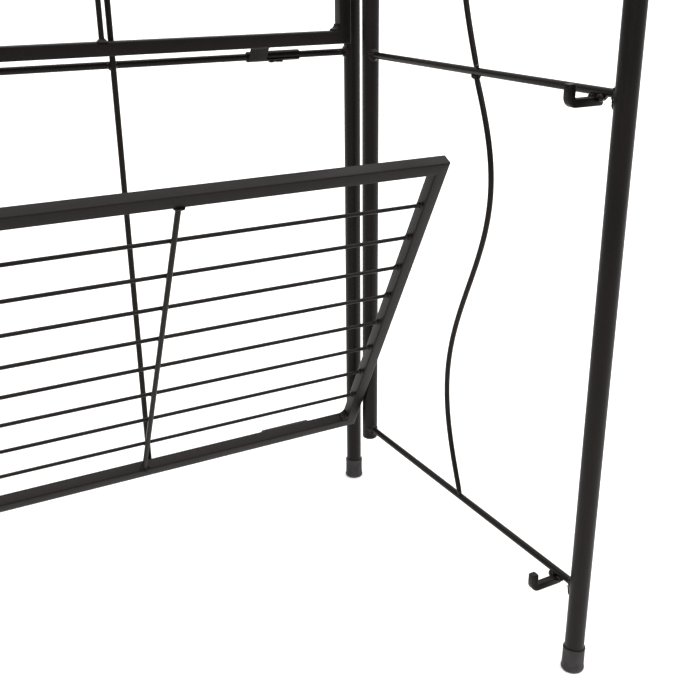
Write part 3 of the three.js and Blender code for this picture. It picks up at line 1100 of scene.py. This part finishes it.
@dataclass
class Shelf:
    """A shelf of square tube with wires, braces and two rolled clips.

    It is drawn in its own coordinates: X across, then along the shelf from its rear tube to its
    front tube, then square to the shelf, towards its underside.
    """

    plan: Plan
    wear: Wardrobe
    tier: Tier
    wire_count: int = 8
    brace_offset: float = 85 * MM
    brace_sink: float = 0.5 * MM
    corner_radius: float = 1.1 * MM
    clip_length: float = 42 * MM
    clip_tab: float = 14.5 * MM
    clip_lean: float = 33.0
    roll_start: float = 4.0
    roll_sweep: float = 312.0
    strap_corner: float = 0.3 * MM
    seam: float = 0.02 * MM
    wire_bead: float = 1.3 * MM
    brace_bead: float = 2.0 * MM
    cross_blob: Triple = (0.9 * MM, 1.2 * MM, 0.8 * MM)
    clip_blob: Triple = (1.6 * MM, 1.0 * MM, 1.0 * MM)
    tack_blob: Triple = (2.2 * MM, 1.3 * MM, 1.6 * MM)
    welds: Draft = field(init=False)
    origin: np.ndarray = field(init=False)
    basis: np.ndarray = field(init=False)
    span: float = field(init=False)
    edge: float = field(init=False)
    hinge: np.ndarray = field(init=False)

    def __post_init__(self) -> None:
        """Reads the shelf's place and slope from the frame."""
        rear = self.middle_of("rear_tube")
        front = self.middle_of("front_tube")
        self.origin = rear
        self.span = float(np.linalg.norm(front - rear))
        along = unit(front - rear)
        self.basis = np.stack([X_AXIS, along, np.cross(X_AXIS, along)], 1)
        self.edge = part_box(f"{self.tier.value}_shelf_right_tube")[1].x
        pivot = np.array([0.0, self.plan.back_y, self.plan.heights[self.tier]])
        self.hinge = (pivot - rear) @ self.basis
        self.welds = self.draft()

    @property
    def body(self) -> str:
        """The body that the shelf's pieces ride on."""
        return f"{self.tier.value}_shelf"

    def middle_of(self, part: str) -> np.ndarray:
        """The middle of one of the shelf's plain solids."""
        low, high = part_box(f"{self.tier.value}_shelf_{part}")
        return np.array((low + high) / 2) * np.array([0.0, 1.0, 1.0])

    def wire_place(self, number: int) -> float:
        """How far along the shelf a wire lies: they part the opening evenly."""
        tube = self.plan.stock.tube
        return tube / 2 + (self.span - tube) * number / (self.wire_count + 1)

    def draft(self) -> Draft:
        """A new draft in the shelf's own coordinates."""
        return Draft(self.origin, self.basis)

    def build(self) -> None:
        """Draws the shelf's pieces."""
        self.build_frame()
        self.build_grille()
        for side in Side:
            self.build_clip(side)
            self.build_corner(side)
        self.welds.finish(f"{self.body}_welds", self.wear.weld, self.body)

    def mitred(
        self, part: str, middle: np.ndarray, length: float, run: np.ndarray, outward: np.ndarray
    ) -> None:
        """Draws one square tube of the frame, mitred at both ends.

        Args:
            part: The tube's name on the shelf.
            middle: Its middle, in the shelf's coordinates.
            length: Its length along its outer face.
            run: The unit direction along it.
            outward: The unit direction out of the shelf.
        """
        tube = self.plan.stock.tube
        section = rounded_box(tube, tube, self.corner_radius, 5)
        third = np.cross(run, outward)
        rings = []
        for way in (-1, 1):
            slant = way * (length / 2 - self.seam + section[:, 0] - tube / 2)
            rings.append(middle + section[:, :1] * outward + section[:, 1:] * third + np.outer(slant, run))
        draft = self.draft()
        draft.skin([rings[0], (rings[0] + rings[1]) / 2, rings[1]])
        draft.finish(f"{self.body}_{part}_mitred", self.wear.tube, self.body, (f"{self.body}_{part}",))

    def build_frame(self) -> None:
        """Draws the four tubes of the frame."""
        tube = self.plan.stock.tube
        width, depth = 2 * self.edge, self.span + tube
        self.mitred("rear_tube", np.zeros(3), width, X_AXIS, -Y_AXIS)
        self.mitred("front_tube", self.span * Y_AXIS, width, X_AXIS, Y_AXIS)
        for side in Side:
            x = side.value * (self.edge - tube / 2)
            middle = np.array([x, self.span / 2, 0.0])
            self.mitred(f"{side.word}_tube", middle, depth, Y_AXIS, side.value * X_AXIS)

    def build_grille(self) -> None:
        """Draws the wires and the two braces under them, with the beads that hold them."""
        stock = self.plan.stock
        inner = self.edge - stock.tube
        under = stock.wire + stock.brace - self.brace_sink
        draft = self.draft()
        for number in range(1, self.wire_count + 1):
            u = self.wire_place(number)
            reach = inner + 0.4 * MM
            draft.rod(np.array([-reach, u, 0.0]), np.array([reach, u, 0.0]), stock.wire, 16)
            for side in Side:
                seed = 1.1 * number + side.value
                foot = np.array([side.value * inner, u, 0.0])
                self.welds.bead(foot, -side.value * X_AXIS, stock.wire, self.wire_bead, seed)
                swell = 1 + 0.25 * math.sin(5.1 * seed)
                blob = foot + np.array([-side.value * 1.9 * MM, 1.5 * MM, 0.3 * MM])
                self.welds.lump(blob, (2.0 * MM * swell, 1.5 * MM * swell, 1.4 * MM), seed)
                trail = foot + np.array([-side.value * 0.1 * MM, 1.7 * MM, 1.2 * MM])
                self.welds.lump(trail, (1.0 * MM, 1.9 * MM * swell, 1.6 * MM), seed + 4)
        for side in Side:
            x = side.value * self.brace_offset
            rear, front = stock.tube / 2, self.span - stock.tube / 2
            start, end = np.array([x, rear - 0.4 * MM, under]), np.array([x, front + 0.4 * MM, under])
            draft.rod(start, end, stock.brace, 20)
            for u, way, seed in ((rear, Y_AXIS, 2.0), (front, -Y_AXIS, 5.0)):
                foot = np.array([x, u, under])
                self.welds.bead(foot, way, stock.brace, self.brace_bead, seed + side.value)
            for number in range(1, self.wire_count + 1):
                u = self.wire_place(number)
                for way in (-1, 1):
                    spot = np.array([x + way * 1.5 * MM, u, under * 0.45])
                    self.welds.lump(spot, self.cross_blob, number + way)
        draft.finish(f"{self.body}_grille_wires", self.wear.rod, self.body, (f"{self.body}_grille",))

    def build_corner(self, side: Side) -> None:
        """Draws the web of weld inside a rear corner of the frame.

        Args:
            side: The side that it is on.
        """
        tube = self.plan.stock.tube
        x, u = side.value * (self.edge - tube), tube / 2
        rings = []
        for i in range(13):
            w = (i / 12 - 0.5) * (tube - 1.6 * MM)
            leg = (4.4 + 0.5 * math.sin(2.3 * i)) * MM * (0.8 if i in (0, 12) else 1.0)
            ring = [[x + side.value * 0.4 * MM, u - 0.4 * MM, w]]
            for j in range(6):
                a = j / 5 * math.pi / 2
                bow = 0.75 * leg
                ring.append([x - side.value * (leg - bow * math.sin(a)), u + leg - bow * math.cos(a), w])
            ring.insert(1, [x - side.value * leg, u - 0.4 * MM, w])
            ring.append([x + side.value * 0.4 * MM, u + leg, w])
            rings.append(np.array(ring))
        self.welds.skin(rings)

    def build_clip(self, side: Side) -> None:
        """Draws a clip: a strap rolled round the hinge rod, with a tab welded to the rear tube.

        Args:
            side: The side that it is on.
        """
        stock = self.plan.stock
        node = f"{self.body}_clip_{side.word}"
        low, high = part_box(node)
        radius = stock.hinge_rod + 0.25 * MM + stock.sheet / 2
        centre = np.array([(low.x + high.x) / 2, self.hinge[1], self.hinge[2]])
        # The tab leaves the roll and leans forward to the rear tube.
        away = math.radians(90 + self.clip_lean)
        tangent = radius * np.array([math.cos(away), math.sin(away)])
        way = np.array([math.sin(away), -math.cos(away)])
        gap = -stock.tube / 2 - self.hinge[1]
        tab_length = (gap - tangent[0]) / way[0]
        draft = self.draft()
        roll = []
        for i in range(37):
            a = away + math.radians(self.roll_start) + i / 36 * math.radians(self.roll_sweep)
            roll.append(centre + np.array([0.0, radius * math.cos(a), radius * math.sin(a)]))
        roll_section = rounded_box(self.clip_length, stock.sheet, self.strap_corner, 3)
        draft.sweep(np.array(roll), roll_section, X_AXIS)
        tab_x = -side.value * (self.clip_length - self.clip_tab) / 2
        tab = []
        for i in range(9):
            flat = tangent + way * (i / 8 * (tab_length + 0.3 * MM))
            tab.append(centre + np.array([tab_x, flat[0], flat[1]]))
        curl = []
        for a in (away + 0.5, away + 0.25):
            curl.append(centre + np.array([tab_x, radius * math.cos(a), radius * math.sin(a)]))
        tab_section = rounded_box(self.clip_tab, stock.sheet, self.strap_corner, 3)
        draft.sweep(np.array(curl + tab), tab_section, X_AXIS)
        draft.finish(f"{node}_strap", self.wear.tube, self.body, (node,))
        for lift in (-1, 1):
            foot = tab[-1] + np.array([0.0, -0.5 * MM, lift * 0.9 * MM])
            half = np.array([self.clip_tab / 2 - 1.2 * MM, 0.0, 0.0])
            self.welds.weld_run(foot - half, foot + half, self.clip_blob, 6, lift + side.value)
        # A tack closes the roll on its lower side.
        tack = centre + np.array([side.value * 2.5 * MM, -radius - 0.2 * MM, 0.6 * MM])
        reach = np.array([5 * MM, 0.0, 0.0])
        self.welds.weld_run(tack - reach, tack + reach, self.tack_blob, 4, 7.0 + side.value)


# ---------------------------------------------------------------- the studio


@dataclass(frozen=True)
class Softbox:
    """A soft rectangular lamp."""

    name: str
    place: Triple
    aim: Triple
    size: tuple[float, float]
    power: float

    def build(self) -> None:
        """Hangs the lamp."""
        data = bpy.data.lights.new(self.name, "AREA")
        data.shape = "RECTANGLE"
        data.size, data.size_y = self.size
        data.energy = self.power
        lamp = bpy.data.objects.new(self.name, data)
        bpy.context.scene.collection.objects.link(lamp)
        lamp.location = self.place
        lamp.rotation_mode = "QUATERNION"
        lamp.rotation_quaternion = (Vector(self.aim) - Vector(self.place)).to_track_quat("-Z", "Y")


@dataclass
class Studio:
    """A plain pale floor under soft light, and a camera that looks down at the rack's right side."""

    eye: Triple = (-104.0 * MM, -547.7 * MM, 443.7 * MM)
    yaw: float = VIEW_YAW
    pitch: float = 21.77
    roll: float = 0.42
    lens: float = 51.16
    sensor: float = 36.0
    floor_half: float = 12.0
    zenith: float = 1.3
    horizon: float = 0.4
    wall: float = 0.8
    wash_strength: float = 2.0
    wash_spread: float = 80.0

    def build(self) -> None:
        """Sets up the floor, the lights and the camera."""
        self.build_floor()
        self.build_room()
        self.build_lamps()
        self.build_camera()

    def behind(self) -> Triple:
        """The level direction in which the camera looks."""
        return math.sin(math.radians(self.yaw)), math.cos(math.radians(self.yaw)), 0.0

    def build_floor(self) -> None:
        """Lays the paper floor."""
        half = self.floor_half
        mesh = bpy.data.meshes.new("studio_floor")
        corners = [(-half, -half, 0.0), (half, -half, 0.0), (half, half, 0.0), (-half, half, 0.0)]
        mesh.from_pydata(corners, [], [(0, 1, 2, 3)])
        mesh.materials.append(SeamlessPaper().material())
        floor = bpy.data.objects.new("studio_floor", mesh)
        bpy.context.scene.collection.objects.link(floor)

    def build_room(self) -> None:
        """Makes the room: a bright ceiling, a white wall behind the rack and dimmer sides."""
        world = bpy.data.worlds.new("studio_room")
        bpy.context.scene.world = world
        world.use_nodes = True
        tree = world.node_tree
        back = tree.nodes["Background"]
        way = add_node(tree, "ShaderNodeTexCoord", {}).outputs["Generated"]
        height = add_node(tree, "ShaderNodeSeparateXYZ", {"Vector": way}).outputs["Z"]
        glow = add_node(
            tree,
            "ShaderNodeMapRange",
            {
                "Value": height,
                "From Min": 0.1,
                "From Max": 0.8,
                "To Min": self.horizon,
                "To Max": self.zenith,
            },
            interpolation_type="SMOOTHSTEP",
        )
        behind = add_node(tree, "ShaderNodeVectorMath", {0: way, 1: self.behind()}, operation="DOT_PRODUCT")
        wall = add_node(
            tree,
            "ShaderNodeMapRange",
            {"Value": behind.outputs["Value"], "From Min": 0.2, "From Max": 0.8, "To Max": self.wall},
            interpolation_type="SMOOTHSTEP",
        )
        brighter = add_node(
            tree,
            "ShaderNodeMath",
            {0: glow.outputs["Result"], 1: wall.outputs["Result"]},
            operation="MAXIMUM",
        )
        tree.links.new(brighter.outputs["Value"], back.inputs["Strength"])
        back.inputs["Color"].default_value = linear("#fdfdfe")

    def build_lamps(self) -> None:
        """Hangs a wide soft lamp overhead and two softboxes in front of the rack."""
        scene = bpy.context.scene
        sun = bpy.data.lights.new("ceiling_wash", "SUN")
        sun.energy = self.wash_strength
        sun.angle = math.radians(self.wash_spread)
        wash = bpy.data.objects.new("ceiling_wash", sun)
        scene.collection.objects.link(wash)
        lamps = (
            Softbox("front_left_softbox", (-1.7, -1.9, 1.5), (0.1, 0.0, 0.4), (1.4, 1.8), 7.0),
            Softbox("front_right_softbox", (1.25, -1.55, 1.9), (0.1, 0.0, 0.3), (1.2, 0.8), 13.0),
        )
        for lamp in lamps:
            lamp.build()
        scene.view_settings.view_transform = "Standard"
        scene.view_settings.look = "None"

    def build_camera(self) -> None:
        """Places the camera."""
        yaw, pitch, roll = (math.radians(a) for a in (self.yaw, self.pitch, self.roll))
        ahead = Vector((math.sin(yaw) * math.cos(pitch), math.cos(yaw) * math.cos(pitch), -math.sin(pitch)))
        right = Vector((math.cos(yaw), -math.sin(yaw), 0.0))
        up = right.cross(ahead)
        tilted_right = right * math.cos(roll) - up * math.sin(roll)
        tilted_up = up * math.cos(roll) + right * math.sin(roll)
        turn = Matrix((tilted_right, tilted_up, -ahead)).transposed()
        data = bpy.data.cameras.new("camera")
        data.lens = self.lens
        data.sensor_width = self.sensor
        data.clip_start = 0.01
        camera = bpy.data.objects.new("camera", data)
        camera.matrix_world = Matrix.Translation(self.eye) @ turn.to_4x4()
        bpy.context.scene.collection.objects.link(camera)
        bpy.context.scene.camera = camera


def main() -> None:
    """Builds the rack and the studio round it."""
    logging.basicConfig(level=logging.INFO, format="%(message)s")
    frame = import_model()
    plan = Plan.read(frame["record"], frame["joints"])
    wear = Wardrobe()
    Studio().build()
    BackFrame(plan, wear).build()
    for side in Side:
        SideFrame(plan, wear, side).build()
    for tier in Tier:
        Shelf(plan, wear, tier).build()


if __name__ == "__main__":
    main()
